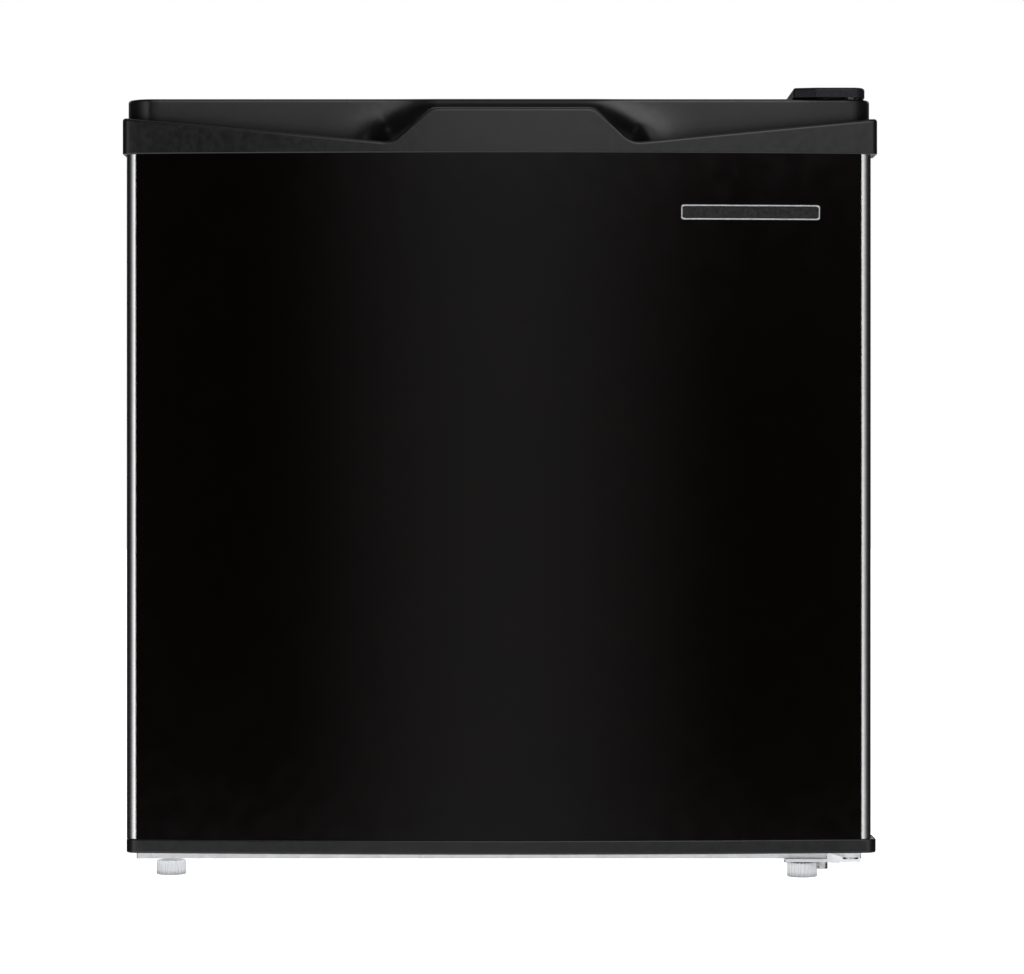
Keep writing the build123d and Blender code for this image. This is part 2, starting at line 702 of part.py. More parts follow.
with BuildPart() as door_bushings:
    peg((hinge_x, hinge_y, 466), (0, 0, 1), 4.5, cap_high - 466)
    peg((hinge_x, hinge_y, 467.5), (0, 0, 1), hinge_pin_radius + running_gap, 30, Mode.SUBTRACT)
    peg((hinge_x, hinge_y, tongue_high), (0, 0, 1), 7.0, trim_low - tongue_high)
    peg((hinge_x, hinge_y, trim_low), (0, 0, 1), 4.5, 15)
    peg(
        (hinge_x, hinge_y, tongue_high), (0, 0, 1), hinge_pin_radius + running_gap, 15.5,
        Mode.SUBTRACT,
    )

with BuildPart() as door_edge_left:
    with BuildSketch(Plane.XY.offset(skin_low)):
        add(door_plan(0, -door_half, door_half, corner_radius))
        add(door_plan(0, -door_half, door_half, corner_radius, skin_sheet), mode=Mode.SUBTRACT)
    extrude(amount=skin_high - skin_low)
    add(corner_zone(-1), mode=Mode.INTERSECT)

with BuildPart() as door_edge_right:
    add(door_edge_left.part.mirror(Plane.YZ))

with BuildPart() as door_skin:
    with BuildSketch(Plane.XY.offset(skin_low)):
        add(door_plan(0, -door_half, door_half, corner_radius, skin_sheet))
        add(door_plan(0, -door_half, door_half, corner_radius, 2 * skin_sheet), mode=Mode.SUBTRACT)
    extrude(amount=skin_high - skin_low)
    add([corner_zone(-1, 1.5), corner_zone(1, 1.5)], mode=Mode.INTERSECT)
    with BuildSketch(Plane.XY.offset(skin_low)):
        add(door_plan(0, -door_half, door_half, corner_radius))
        add(door_plan(0, -door_half, door_half, corner_radius, skin_sheet), mode=Mode.SUBTRACT)
    extrude(amount=skin_high - skin_low)
    add([corner_zone(-1), corner_zone(1)], mode=Mode.SUBTRACT)
    block(
        (-casing_open_half, casing_open_half), (casing_back - 2, casing_back + 1),
        (skin_low, skin_high), Mode.SUBTRACT,
    )

with BuildPart() as nameplate:
    with BuildSketch(Plane.XY.offset(411.4)):
        add(door_plan(0.6, -door_half, door_half, corner_radius))
        add(door_plan(0, -door_half, door_half, corner_radius), mode=Mode.SUBTRACT)
    extrude(amount=9.2)
    block((112.3, 198.3), (-230, -200), (400, 430), Mode.INTERSECT)


def pocket(span, grow):
    """Plan of a finger pocket behind the lip, grown by grow."""
    with BuildSketch() as plan:
        with BuildLine():
            left, right = span[0] - grow, span[1] + grow
            proud = cap_proud - lip_wall + grow
            middle = (left + right) / 2
            ThreePointArc(
                (left, bowed_y(left, proud)), (middle, bowed_y(middle, proud)),
                (right, bowed_y(right, proud)),
            )
            Polyline(
                (right, bowed_y(right, proud)), (right, scoop_back + grow),
                (left, scoop_back + grow), (left, bowed_y(left, proud)),
            )
        make_face()
        fillet(plan.vertices(), 3.0)
    return plan.sketch


with BuildPart() as pocket_cups:
    with BuildSketch(Plane.XY.offset(pocket_floor - pocket_wall)):
        add(pocket(pocket_left, pocket_wall))
        add(pocket(pocket_right, pocket_wall))
    extrude(amount=skin_high - pocket_floor + pocket_wall)

with BuildPart() as door_top_cap:
    with BuildSketch(Plane.XY.offset(skin_high)):
        add(door_plan(cap_proud, cap_left, cap_right, corner_radius + 1.2))
    extrude(amount=cap_high - skin_high)
    with BuildSketch(Plane.XZ.offset(240)):
        with BuildLine():
            FilletPolyline(
                (-lip_end_x, lip_left_z), (lip_valley_left, lip_valley_z),
                (lip_crown_left, lip_crown_z), (lip_crown_right, lip_crown_z),
                (lip_valley_right, lip_valley_z), (lip_end_x, lip_right_z),
                radius=(15, 9, 9, 15),
            )
            Polyline(
                (lip_end_x, lip_right_z), (lip_end_x, 500), (-lip_end_x, 500),
                (-lip_end_x, lip_left_z),
            )
        make_face()
    extrude(amount=-70, mode=Mode.SUBTRACT)
    with BuildSketch(Plane.XY.offset(skin_high)) as rear_block:
        with Locations((0, (scoop_back + casing_back) / 2)):
            Rectangle(2 * cap_block_half, casing_back - scoop_back)
        fillet(rear_block.vertices().group_by(Axis.Y)[0], 8)
    extrude(amount=cap_high - skin_high)
    add(pocket_cups.part)
    with BuildSketch(Plane.XY.offset(pocket_floor)):
        add(pocket(pocket_left, 0.0))
        add(pocket(pocket_right, 0.0))
    extrude(amount=60, mode=Mode.SUBTRACT)
    cavity_y = (scoop_back + cap_shell, casing_back - cap_shell)
    block((-227, 209), cavity_y, (skin_high, cap_high - cap_shell), Mode.SUBTRACT)
    add(door_bushings.part, mode=Mode.SUBTRACT)
    peg((hinge_x, hinge_y, 467.5), (0, 0, 1), 3.5, 30, Mode.SUBTRACT)

with BuildPart() as door_bottom_cap:
    with BuildSketch(Plane.XY.offset(trim_low)):
        add(door_plan(cap_proud, -door_half, trim_right, corner_radius))
    extrude(amount=skin_low - trim_low)
    fillet(door_bottom_cap.faces().sort_by(Axis.Z)[0].edges().sort_by(Axis.Y)[:5], 1.0)
    peg((hinge_x, hinge_y, trim_low), (0, 0, 1), 4.5, 20, Mode.SUBTRACT)

dyke_outer = (184.0, 62.0, 440.0)
dyke_inner = (160.0, 76.0, 414.0)
dyke_y = -150.0


def shrink(size, amount):
    """A (half width, low z, high z) size with every side moved inwards."""
    return (size[0] - amount, size[1] + amount, size[2] - amount)


with BuildPart() as dyke_core:
    ring(
        (casing_back, dyke_y - liner_sheet), shrink(dyke_outer, liner_sheet),
        shrink(dyke_inner, -liner_sheet),
    )

with BuildPart() as door_liner:
    block((-inner_plate[0], inner_plate[0]), (casing_back, flange_back), inner_plate[1:])
    fillet(door_liner.edges().filter_by(Axis.Y), 6)
    ring((casing_back, dyke_y), dyke_outer, dyke_inner)
    add(dyke_core.part, mode=Mode.SUBTRACT)
    for side in (-1, 1):
        inner, outer = sorted((side * 155, side * (dyke_inner[0] + 0.5)))
        block((inner, outer), (-172, -160), (221, 225))

with BuildPart() as door_foam:
    with BuildSketch(Plane.XY.offset(skin_low)):
        add(door_plan(0, -door_half, door_half, corner_radius, skin_sheet))
    extrude(amount=skin_high - skin_low)
    block(
        (-casing_open_half, casing_open_half), (casing_back - 2, casing_back),
        (skin_low, skin_high),
    )
    add(dyke_core.part)
    for cutter in (door_skin.part, door_liner.part, pocket_cups.part, door_bushings.part):
        add(cutter, mode=Mode.SUBTRACT)
    peg((hinge_x, hinge_y, skin_low), (0, 0, 1), 4.5, 6, Mode.SUBTRACT)

seal_outer = (214.0, 34.0, 461.0)
seal_inner = (202.0, 46.0, 449.0)

with BuildPart() as door_gasket:
    ring((flange_back, flange_back + 2), seal_outer, seal_inner)
    ring((flange_back + 2, cab_front - 4), shrink(seal_outer, 2.5), shrink(seal_inner, -2.5))
    ring((cab_front - 4, cab_front), seal_outer, seal_inner)
    ring(
        (cab_front - 3, cab_front - 1), shrink(seal_inner, -8), seal_inner, mode=Mode.SUBTRACT
    )

with BuildPart() as magnet_strips:
    magnet_y = (cab_front - 3, cab_front - 1)
    for z in ((38, 46), (449, 457)):
        block((-210, 210), magnet_y, z)
    for side in (-1, 1):
        block(sorted((side * 202, side * 210)), magnet_y, (46.2, 448.8))


rack_half = dyke_inner[0] - 0.5
rack_front = -94.0
rack_corner = 8.0
rack_wall, rack_floor = 2.0, 2.5
rack_back_wall = 30.0  # height of the wall on the door's side


def rack_plan(inset):
    """Plan outline of a door rack, its front corners rounded."""
    side, front, back = rack_half - inset, rack_front - inset, flange_back + inset
    with BuildSketch() as plan:
        with BuildLine():
            FilletPolyline(
                (-side, back), (-side, front), (side, front), (side, back), radius=rack_corner - inset
            )
            Line((side, back), (-side, back))
        make_face()
    return plan.sketch


def rack(low, high):
    """An open-topped trough that hangs between the door liner's side ribs."""
    with BuildPart() as trough:
        with BuildSketch(Plane.XY.offset(low)):
            add(rack_plan(0))
        extrude(amount=high - low)
        with BuildSketch(Plane.XY.offset(low + rack_floor)):
            add(rack_plan(rack_wall))
        extrude(amount=high - low - rack_floor, mode=Mode.SUBTRACT)
        block(
            (-rack_half + rack_wall, rack_half - rack_wall), (flange_back, flange_back + rack_wall),
            (low + rack_back_wall, high), Mode.SUBTRACT,
        )
    return trough


door_rack_lower = rack(76.0, 140.0)
door_rack_upper = rack(225.0, 275.0)

# ---------------------------------------------------------------- writing the pieces

pieces = {
    "cabinet_shell": cabinet_shell,
    "back_panel": back_panel,
    "bottom_panel": bottom_panel,
    "front_bottom_rail": front_bottom_rail,
    "cabinet_foam": cabinet_foam,
    "inner_liner": inner_liner,
    "compressor_base": compressor_base,
    "compressor_shell": compressor_shell,
    "compressor_pump": compressor_pump,
    "compressor_cradle": compressor_cradle,
    "compressor_grommets": compressor_grommets,
    "compressor_bolts": compressor_bolts,
    "starter_cover": starter_cover,
    "discharge_tube": discharge_tube,
    "suction_tube": suction_tube,
    "filter_drier": filter_drier,
    "capillary_tube": capillary_tube,
    "cord_gland": cord_gland,
    "condenser_coil": condenser_coil,
    "condenser_wires": condenser_wires,
    "condenser_clips": condenser_clips,
    "panel_screws": panel_screws,
    "top_hinge_plate": top_hinge_plate,
    "hinge_pins": hinge_pins,
    "hinge_screws": hinge_screws,
    "top_hinge_cover": top_hinge_cover,
    "hinge_hole_plugs": hinge_hole_plugs,
    "bottom_hinge_bracket": bottom_hinge_bracket,
    "foot_inserts": foot_inserts,
    "rear_feet": rear_feet,
    "left_foot_stud": left_foot_stud,
    "left_foot_disc": left_foot_disc,
    "right_foot_stud": right_foot_stud,
    "right_foot_disc": right_foot_disc,
    "evaporator_box": evaporator_box,
    "evaporator_clips": evaporator_clips,
    "evaporator_pipes": evaporator_pipes,
    "freezer_frame": freezer_frame,
    "freezer_flap": freezer_flap,
    "drip_tray": drip_tray,
    "tray_rails": tray_rails,
    "wire_shelf": wire_shelf,
    "thermostat_housing": thermostat_housing,
    "thermostat_body": thermostat_body,
    "thermostat_shaft": thermostat_shaft,
    "thermostat_knob": thermostat_knob,
    "thermostat_capillary": thermostat_capillary,
    "door_skin": door_skin,
    "door_edge_left": door_edge_left,
    "door_edge_right": door_edge_right,
    "door_top_cap": door_top_cap,
    "door_bottom_cap": door_bottom_cap,
    "door_foam": door_foam,
    "door_liner": door_liner,
    "door_gasket": door_gasket,
    "magnet_strips": magnet_strips,
    "door_rack_lower": door_rack_lower,
    "door_rack_upper": door_rack_upper,
    "door_bushings": door_bushings,
    "nameplate": nameplate,
}

for name, piece in pieces.items():
    piece.part.label = name
    export_step(piece.part, f"parts/{name}.step")
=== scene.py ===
import json
import math

import bmesh
import bpy
import numpy as np
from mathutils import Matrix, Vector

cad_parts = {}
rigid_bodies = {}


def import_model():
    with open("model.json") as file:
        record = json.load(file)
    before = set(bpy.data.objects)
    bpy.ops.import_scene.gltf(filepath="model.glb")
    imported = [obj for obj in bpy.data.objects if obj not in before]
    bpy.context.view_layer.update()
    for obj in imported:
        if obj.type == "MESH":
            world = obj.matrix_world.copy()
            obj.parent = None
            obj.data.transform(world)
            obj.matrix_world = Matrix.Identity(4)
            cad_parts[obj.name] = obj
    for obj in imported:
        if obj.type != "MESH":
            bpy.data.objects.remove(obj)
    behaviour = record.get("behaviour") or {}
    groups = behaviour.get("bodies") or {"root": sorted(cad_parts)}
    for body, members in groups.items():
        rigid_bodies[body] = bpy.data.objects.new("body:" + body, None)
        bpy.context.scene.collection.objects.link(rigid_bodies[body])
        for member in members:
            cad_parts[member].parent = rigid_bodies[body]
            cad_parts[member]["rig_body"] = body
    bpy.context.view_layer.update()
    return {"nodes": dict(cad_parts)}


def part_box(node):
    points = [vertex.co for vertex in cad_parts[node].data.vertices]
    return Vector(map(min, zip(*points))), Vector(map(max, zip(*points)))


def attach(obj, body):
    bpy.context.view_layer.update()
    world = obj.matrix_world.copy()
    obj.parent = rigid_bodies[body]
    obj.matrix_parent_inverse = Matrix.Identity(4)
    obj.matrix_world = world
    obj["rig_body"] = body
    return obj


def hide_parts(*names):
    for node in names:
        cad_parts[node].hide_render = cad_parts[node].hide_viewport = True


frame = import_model()

MM = 0.001
nodes = frame["nodes"]


def span(node):
    """A CAD node's lowest and highest corners, in millimetres."""
    low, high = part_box(node)
    return [c / MM for c in low], [c / MM for c in high]


# ------------------------------------------------------------------ shader tools

EVEN = (1, 1, 1)


class Graph:
    """Adds nodes to one shader tree and links them."""

    def __init__(self, tree):
        self.tree = tree

    def feed(self, socket, value):
        if isinstance(value, bpy.types.NodeSocket):
            self.tree.links.new(value, socket)
        else:
            socket.default_value = value

    def add(self, kind, values=(), **settings):
        node = self.tree.nodes.new(kind)
        for key, value in settings.items():
            setattr(node, key, value)
        for key, value in dict(values).items():
            self.feed(node.inputs[key], value)
        return node

    def sum(self, operation, *values):
        """One math node, fed with the values in turn."""
        node = self.add("ShaderNodeMath", operation=operation)
        for socket, value in zip(node.inputs, values):
            self.feed(socket, value)
        return node.outputs[0]

    def ramp(self, value, low, high, to_low=0.0, to_high=1.0):
        """value mapped from low..high to to_low..to_high, eased and held at both ends."""
        node = self.add("ShaderNodeMapRange", interpolation_type="SMOOTHSTEP")
        for key, number in zip(range(5), (value, low, high, to_low, to_high)):
            self.feed(node.inputs[key], number)
        return node.outputs[0]

    def place(self, stretch=EVEN):
        """Object coordinates, which are the frame's own metres, stretched for grain that has a direction."""
        where = self.add("ShaderNodeTexCoord").outputs["Object"]
        if stretch == EVEN:
            return where
        return self.add("ShaderNodeMapping", {"Vector": where, "Scale": stretch}).outputs[0]

    def noise(self, size, detail=3.0, stretch=EVEN):
        """Noise whose features are about size millimetres across."""
        values = {"Vector": self.place(stretch), "Scale": 1 / (size * MM)}
        values |= {"Detail": detail, "Roughness": 0.55}
        return self.add("ShaderNodeTexNoise", values).outputs["Fac"]

    def cells(self, size, output="Color", feature="F1"):
        values = {"Vector": self.place(), "Scale": 1 / (size * MM)}
        return self.add("ShaderNodeTexVoronoi", values, feature=feature).outputs[output]

    def mix(self, factor, first, second):
        node = self.add("ShaderNodeMix", data_type="RGBA")
        for key, value in ((0, factor), (6, first), (7, second)):
            self.feed(node.inputs[key], value)
        return node.outputs[2]

    def relief(self, height, depth, normal=None):
        """A bump layer of that depth in millimetres."""
        node = self.add("ShaderNodeBump", {"Height": height, "Distance": depth * MM})
        if normal is not None:
            self.feed(node.inputs["Normal"], normal)
        return node.outputs[0]

    def soft_edges(self, radius):
        values = {"Radius": radius * MM}
        return self.add("ShaderNodeBevel", values, samples=4).outputs[0]


def rgba(colour, scale=1.0):
    return (*[min(1.0, c * scale) for c in colour], 1.0)


def surface(name, colour, rough, mottle=(6.0, 0.1), layers=(), edge=0.0, tint=None, **sockets):
    """A Principled material. mottle is (feature size, share) of its colour variation towards tint, rough is
    the (low, high) roughness, and layers are (size, depth, stretch) of its relief, sizes in millimetres."""
    material = bpy.data.materials.new(name)
    material.use_nodes = True
    g = Graph(material.node_tree)
    shader = material.node_tree.nodes["Principled BSDF"]
    size, share = mottle
    cloud = g.noise(size, detail=5.0)
    other = rgba(tint) if tint else rgba(colour, 1 - share)
    factor = g.ramp(cloud, 0.36, 0.66)
    g.feed(shader.inputs["Base Color"], g.mix(factor, rgba(colour), other))
    fine = g.noise(size * 0.31, detail=4.0)
    g.feed(shader.inputs["Roughness"], g.ramp(fine, 0.35, 0.65, rough[0], rough[1]))
    normal = g.soft_edges(edge) if edge else None
    for size, depth, stretch in layers:
        normal = g.relief(g.noise(size, detail=2.0, stretch=stretch), depth, normal)
    if normal is not None:
        g.feed(shader.inputs["Normal"], normal)
    for key, value in sockets.items():
        shader.inputs[key.replace("_", " ")].default_value = value
    return material, g, shader


looks = {}


def look(slot, *args, **kwargs):
    looks[slot], graph, shader = surface("look_" + slot, *args, **kwargs)
    return graph, shader


look("door_gloss", (0.0013, 0.0006, 0.0004), (0.075, 0.088), (40.0, 0.15), [(9.0, 0.0012, EVEN)])
graph, shader = look("satin_black", (0.0055, 0.0057, 0.0062), (0.19, 0.24), (14.0, 0.12),
                     [(0.55, 0.006, EVEN), (0.16, 0.003, EVEN)], edge=0.5)
# Painted shade: an ambient occlusion mask lowers the shine in the moulding's recesses, so the coves read
# darker.
painted_recess_shade = graph.add("ShaderNodeAmbientOcclusion", {"Distance": 32 * MM}, samples=8).outputs["AO"]
graph.feed(shader.inputs["Specular IOR Level"], graph.ramp(painted_recess_shade, 0.45, 0.85, 0.06, 0.5))
look("cabinet_paint", (0.0095, 0.0095, 0.0105), (0.32, 0.35), (60.0, 0.05), [(1.6, 0.012, EVEN)], edge=0.6)
look("black_plastic", (0.0085, 0.0090, 0.0125), (0.24, 0.31), (8.0, 0.15), [(0.45, 0.006, EVEN)], edge=0.4,
     Specular_IOR_Level=0.22)
look("bright_trim", (0.92, 0.92, 0.93), (0.13, 0.19), (5.0, 0.06), [(0.25, 0.0012, (1, 1, 0.02))],
     Metallic=1.0)
look("white_liner", (0.80, 0.81, 0.81), (0.18, 0.26), (35.0, 0.03), [(2.6, 0.010, EVEN)], edge=1.2)
look("white_plastic", (0.78, 0.785, 0.78), (0.30, 0.40), (18.0, 0.04), [(0.7, 0.008, EVEN)], edge=0.5)
graph, shader = look("foot_plastic", (0.80, 0.81, 0.83), (0.36, 0.48), (4.0, 0.10),
                     [(0.5, 0.012, EVEN)], edge=0.3)
# Painted shade: an ambient occlusion mask darkens the base colour in the flutes of the grip, where shade
# falls.
painted_flute_shade = graph.add("ShaderNodeAmbientOcclusion", {"Distance": 4 * MM}, samples=8).outputs["AO"]
shade = graph.ramp(painted_flute_shade, 0.35, 0.9)
graph.feed(shader.inputs["Base Color"], graph.mix(shade, rgba((0.24, 0.25, 0.27)), rgba((0.82, 0.83, 0.84))))
look("shelf_wire", (0.80, 0.81, 0.81), (0.22, 0.32), (9.0, 0.05), [(1.1, 0.012, EVEN)])
look("seal_grey", (0.56, 0.57, 0.58), (0.46, 0.58), (12.0, 0.07), [(0.5, 0.010, EVEN)], edge=0.5)
look("black_rubber", (0.014, 0.014, 0.014), (0.62, 0.78), (5.0, 0.25), [(0.4, 0.02, EVEN)], edge=0.4)
look("compressor_black", (0.0105, 0.0105, 0.011), (0.20, 0.30), (12.0, 0.2), [(2.8, 0.05, EVEN)], edge=0.5)
look("condenser_black", (0.012, 0.012, 0.0125), (0.34, 0.46), (7.0, 0.25), [(0.9, 0.02, EVEN)])
look("cast_iron", (0.15, 0.145, 0.14), (0.55, 0.75), (6.0, 0.4), [(0.8, 0.06, EVEN)], edge=0.5, Metallic=0.85)
look("zinc", (0.74, 0.75, 0.78), (0.24, 0.36), (3.0, 0.1), [(0.4, 0.004, EVEN)], edge=0.25,
     tint=(0.66, 0.65, 0.58), Metallic=1.0)
look("bright_steel", (0.66, 0.66, 0.67), (0.16, 0.26), (2.5, 0.12), [(0.3, 0.002, (1, 1, 0.1))], edge=0.25,
     Metallic=1.0)
look("copper", (0.80, 0.42, 0.27), (0.22, 0.40), (9.0, 0.2), [(0.8, 0.006, EVEN)], tint=(0.40, 0.20, 0.13),
     Metallic=1.0)
look("evaporator_aluminium", (0.79, 0.80, 0.82), (0.30, 0.42), (11.0, 0.1),
     [(0.5, 0.006, (1, 0.04, 1)), (6.0, 0.03, EVEN)], edge=0.6, Metallic=1.0)
look("nameplate", (0.006, 0.006, 0.007), (0.16, 0.22), (6.0, 0.2), [(0.8, 0.002, EVEN)])
look("satin_silver", (0.62, 0.63, 0.65), (0.24, 0.32), (3.0, 0.08), [(0.2, 0.002, (0.03, 1, 1))], edge=0.15,
     Metallic=1.0)

look("clear_plastic", (0.86, 0.94, 0.97), (0.07, 0.13), (30.0, 0.03), [(4.0, 0.01, EVEN)], edge=0.6,
     Transmission_Weight=0.9, IOR=1.49)

# Hot-dip coating: crystals of a few millimetres, each with its own tone and gloss.
graph, shader = look("galvanised", (0.60, 0.61, 0.63), (0.3, 0.5), (14.0, 0.1), edge=0.3, Metallic=0.35)
crystal = graph.add("ShaderNodeSeparateColor", {"Color": graph.cells(6.5)}).outputs["Red"]
fern = graph.ramp(graph.noise(1.2, detail=4.0, stretch=(1, 1, 0.3)), 0.3, 0.7, -0.12, 0.12)
tone = graph.sum("ADD", crystal, fern)
graph.feed(shader.inputs["Base Color"], graph.mix(tone, rgba((0.74, 0.75, 0.77)), rgba((0.86, 0.87, 0.89))))
graph.feed(shader.inputs["Roughness"], graph.ramp(tone, 0.0, 1.0, 0.36, 0.52))

# Poured insulation: a skin of small bubbles.
graph, shader = look("foam", (0.74, 0.66, 0.46), (0.75, 0.9), (10.0, 0.15), tint=(0.66, 0.56, 0.35))
bubbles = graph.cells(1.6, output="Distance", feature="SMOOTH_F1")
graph.feed(shader.inputs["Normal"], graph.relief(bubbles, 0.4))

for node in nodes.values():
    for material_slot in node.material_slots:
        slot_name = material_slot.material.name
        material_slot.link = "OBJECT"
        material_slot.material = looks[slot_name]

# ------------------------------------------------------------------ mesh tools


def piece(name, points, faces, body, slot, replaces=(), angle=32.0, material=None):
    """A mesh piece in the row frame, its points in millimetres, that rides on a body."""
    mesh = bpy.data.meshes.new(name)
    mesh.from_pydata([[c * MM for c in p] for p in points], [], [list(f) for f in faces])
    work = bmesh.new()
    work.from_mesh(mesh)
    bmesh.ops.remove_doubles(work, verts=work.verts, dist=1e-6)
    bmesh.ops.recalc_face_normals(work, faces=work.faces)
    work.to_mesh(mesh)
    work.free()
    return finished(name, mesh, body, slot, replaces, angle, material)


def finished(name, mesh, body, slot, replaces=(), angle=32.0, material=None):
    mesh.shade_smooth()
    mesh.set_sharp_from_angle(angle=math.radians(angle))
    mesh.materials.append(material or looks[slot])
    obj = bpy.data.objects.new(name, mesh)
    bpy.context.scene.collection.objects.link(obj)
    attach(obj, body)
    if replaces:
        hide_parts(*replaces)
    return obj


def grid(rows, columns, wrap_rows=False, wrap_columns=False):
    """Quads over a grid of points stored row by row."""
    faces = []
    for i in range(rows - (not wrap_rows)):
        for j in range(columns - (not wrap_columns)):
            a = i * columns + j
            b = i * columns + (j + 1) % columns
            c = ((i + 1) % rows) * columns + (j + 1) % columns
            d = ((i + 1) % rows) * columns + j
            faces.append((a, b, c, d))
    return faces


def loft(rows, wrap_columns=False, wrap_rows=False, cap_first=False, cap_last=False):
    """Points and faces of a skin over rows that hold the same number of points."""
    count = len(rows[0])
    points = [p for row in rows for p in row]
    faces = grid(len(rows), count, wrap_rows, wrap_columns)
    if cap_first:
        faces.append(tuple(range(count)))
    if cap_last:
        faces.append(tuple(range(len(points) - count, len(points))))
    return points, faces


def joined(*parts):
    """Several (points, faces) as one."""
    points, faces = [], []
    for part_points, part_faces in parts:
        faces += [tuple(i + len(points) for i in face) for face in part_faces]
        points += list(part_points)
    return points, faces


def arc(centre, radius, start, end, steps):
    """Points on an arc, angles in degrees."""
    angles = [math.radians(start + (end - start) * i / steps) for i in range(steps + 1)]
    return [(centre[0] + radius * math.cos(a), centre[1] + radius * math.sin(a)) for a in angles]


def eased(points, radii, steps=5):
    """An open line of 2-D points with its inner corners rounded."""
    line = [tuple(points[0])]
    for before, corner, after, radius in zip(points, points[1:], points[2:], radii):
        b, c, a = (np.array(p, float) for p in (before, corner, after))
        u, v = (b - c) / np.linalg.norm(b - c), (a - c) / np.linalg.norm(a - c)
        half = math.acos(max(-1.0, min(1.0, float(u @ v)))) / 2
        reach = radius / math.tan(half)
        middle = c + (u + v) / np.linalg.norm(u + v) * radius / math.sin(half)
        start, end = c + u * reach - middle, c + v * reach - middle
        turn = math.atan2(start[0] * end[1] - start[1] * end[0], float(start @ end))
        for i in range(steps + 1):
            t = turn * i / steps
            x = start[0] * math.cos(t) - start[1] * math.sin(t)
            y = start[0] * math.sin(t) + start[1] * math.cos(t)
            line.append((middle[0] + x, middle[1] + y))
    line.append(tuple(points[-1]))
    return line


def rectangle(low, high, radius, steps=6):
    """A rounded rectangle's outline as 2-D points, counter-clockwise."""
    (x0, y0), (x1, y1) = low, high
    outline = []
    for centre, start in (((x1 - radius, y0 + radius), -90), ((x1 - radius, y1 - radius), 0),
                          ((x0 + radius, y1 - radius), 90), ((x0 + radius, y0 + radius), 180)):
        outline += arc(centre, radius, start, start + 90, steps)
    return outline


def soften(node, width):
    """A copy of a CAD node with its sharp edges rounded, which stands for it."""
    source = nodes[node].data
    mesh = bpy.data.meshes.new("soft_" + node)
    mesh.from_pydata([v.co[:] for v in source.vertices], [], [tuple(p.vertices) for p in source.polygons])
    work = bmesh.new()
    work.from_mesh(mesh)
    bmesh.ops.remove_doubles(work, verts=work.verts, dist=2e-6)
    bmesh.ops.dissolve_limit(work, angle_limit=math.radians(0.6), verts=work.verts, edges=work.edges)
    sharp = [e for e in work.edges if e.is_manifold and e.calc_face_angle(0) > math.radians(40)]
    bmesh.ops.bevel(work, geom=sharp, offset=width * MM, offset_type="OFFSET", segments=2, profile=0.5,
                    affect="EDGES", clamp_overlap=True)
    bmesh.ops.recalc_face_normals(work, faces=work.faces)
    work.to_mesh(mesh)
    work.free()
    obj = finished("soft_" + node, mesh, nodes[node]["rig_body"], source.materials[0].name, [node], angle=30.0)
    smooth = obj.modifiers.new("weighted", "WEIGHTED_NORMAL")
    smooth.keep_sharp = True
    return obj


# ------------------------------------------------------------------ the door's outside

BOW = 12.0
CORNER = 6.8
PROUD = 1.2
BAND_CORNER = 4.6
FLAT_STEP = 0.35
BAND_CLOSE = 0.98

skin_low, skin_high = span("door_skin")
half, panel_front, casing_back = skin_high[0], skin_low[1], skin_high[1]
bow_radius = (half**2 + BOW**2) / (2 * BOW)
bead_start = span("door_edge_right")[0][0]
bead_back = span("door_edge_right")[1][1]


def bowed(x, proud=0.0):
    """y of the bowed front at x."""
    return panel_front - proud + bow_radius - math.sqrt(bow_radius**2 - x**2)


def corner_centre(edge, proud, radius):
    """Centre of the rounding between the bow and the side at x = edge, and where it meets the bow."""
    middle_y = panel_front - proud + bow_radius
    x = math.copysign(abs(edge) - radius, edge)
    y = middle_y - math.sqrt((bow_radius - radius) ** 2 - x**2)
    reach = bow_radius / (bow_radius - radius)
    return (x, y), (x * reach, middle_y + (y - middle_y) * reach)


def corner_stations(edge, proud, radius, steps):
    """Stations up one side and round its corner, and the x where the corner meets the bow."""
    (cx, cy), (mx, my) = corner_centre(edge, proud, radius)
    tilt = math.atan2(my - cy, mx - cx)
    flat = 0.0
    if edge < 0:
        tilt %= 2 * math.pi
        flat = math.pi
    stations = [(edge, y, math.copysign(1, edge), 0.0) for y in np.linspace(casing_back, cy, 4)[:-1]]
    for i in range(steps + 1):
        t = flat + (tilt - flat) * i / steps
        stations.append((cx + radius * math.cos(t), cy + radius * math.sin(t), math.cos(t), math.sin(t)))
    return stations, mx


def door_line(proud, left, right, radius, xs, corner_steps=10):
    """The door's plan line, back left to back right round the front, as (x, y, normal x, normal y)."""
    left_side, low_x = corner_stations(left, proud, radius, corner_steps)
    right_side, high_x = corner_stations(right, proud, radius, corner_steps)
    front = []
    for x in xs:
        if low_x + 0.5 < x < high_x - 0.5:
            tilt = math.asin(x / bow_radius)
            front.append((x, bowed(x, proud), math.sin(tilt), -math.cos(tilt)))
    return left_side + front + right_side[::-1]


def inset(station, amount):
    x, y, nx, ny = station
    return x - nx * amount, y - ny * amount


def ribbon(line, profile):
    """Rows of points: for each (depth, z) of the profile, the line moved inwards by depth, at height z."""
    return [[(*inset(s, depth), z) for s in line] for depth, z in profile]


# panel: the bowed front between the beads, and each side behind its bead
SEAM = 0.22
TURN_IN = 1.2
z_low, z_high = skin_low[2], skin_high[2]
front_xs = np.linspace(-bead_start + SEAM, bead_start - SEAM, 181)
front = [(x, bowed(x)) for x in front_xs]
front = [(front[0][0], front[0][1] + TURN_IN), *front, (front[-1][0], front[-1][1] + TURN_IN)]
side = eased([(half - TURN_IN, bead_back + SEAM), (half, bead_back + SEAM), (half, casing_back),
              (half - 13, casing_back)], [0.5, 0.8], 4)
strips = [front, side, [(-x, y) for x, y in side]]
heights = np.linspace(z_low, z_high, 9)
panel = joined(*[loft([[(x, y, z) for x, y in strip] for z in heights]) for strip in strips])
piece("panel", *panel, "door", "door_gloss", ["door_skin"], angle=28)

